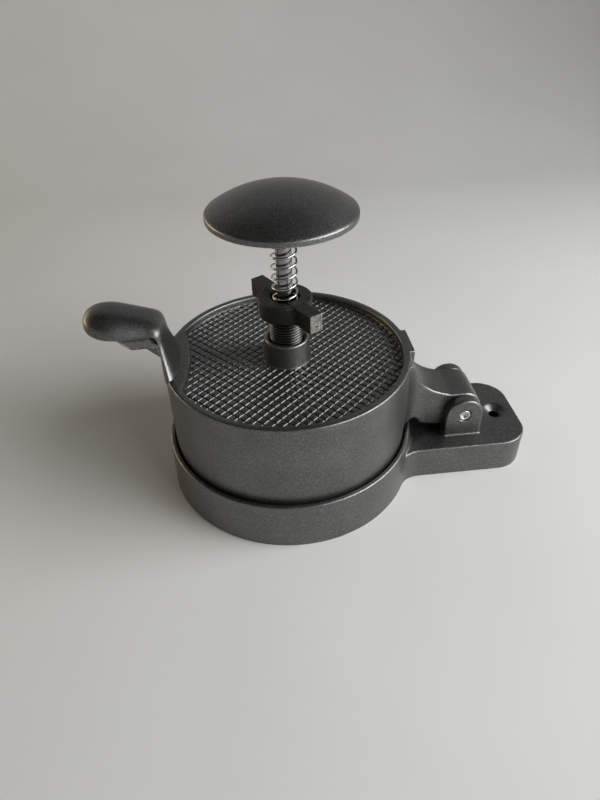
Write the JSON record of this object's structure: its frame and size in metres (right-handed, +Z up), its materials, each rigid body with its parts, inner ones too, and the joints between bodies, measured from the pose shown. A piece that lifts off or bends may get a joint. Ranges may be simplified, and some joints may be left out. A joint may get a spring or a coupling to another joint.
{
  "type": "burger press",
  "caption": "Cast burger press: a dished base with a screw-down tail, a hinged mould lid with handle, a winged thickness adjuster and a sprung palm knob.",
  "frame": {"origin": "on the mould's axis, at the underside of the base", "axes": "+X from the mould's axis to the hinge and tail, +Y along the hinge pin to its headed end, +Z up along the mould's axis"},
  "size_m": [0.2196, 0.1292, 0.1526],
  "materials": {
    "coated_casting": "non-stick coated cast aluminium, dark pewter grey with a fine metallic speckle, satin",
    "black_collar": "rough black cast metal, matt",
    "steel_thread": "machined steel thread, satin grey",
    "chrome": "bright plated steel",
    "zinc_steel": "zinc plated steel, bright"
  },
  "bodies": {
    "base": {"base_casting": "coated_casting", "hinge_rivet": "zinc_steel"},
    "lid": {"lid_casting": "coated_casting"},
    "spring_stack": {"return_spring": "chrome"},
    "adjuster": {"winged_collar": "black_collar", "threaded_sleeve": "steel_thread"},
    "ejector": {"palm_knob": "coated_casting", "plunger_rod": "chrome", "press_plate": "coated_casting", "plate_washer": "zinc_steel", "plate_screw": "zinc_steel"}
  },
  "joints": [
    {"name": "lid_hinge", "type": "hinge", "parent": "base", "child": "lid", "pos_m": [0.0908, 0, 0.032], "axis": [0, 1, 0], "range_deg": [0, 105]},
    {"name": "thickness_slide", "type": "slide", "parent": "lid", "child": "spring_stack", "axis": [0, 0, 1], "range_m": [-0.0124, 0.0035]},
    {"name": "adjuster_turn", "type": "hinge", "parent": "spring_stack", "child": "adjuster", "pos_m": [0, 0, 0.097], "axis": [0, 0, 1], "range_deg": [-2977, 841]},
    {"name": "ejector_press", "type": "slide", "parent": "spring_stack", "child": "ejector", "axis": [0, 0, -1], "range_m": [0, 0.0211], "stiffness_N_per_m": 500, "springref_m": -0.016, "deforming": ["return_spring"]}
  ],
  "couplings": [
    {"joint": "adjuster_turn", "follows": "thickness_slide", "rad_per_m": 4188.8}
  ]
}
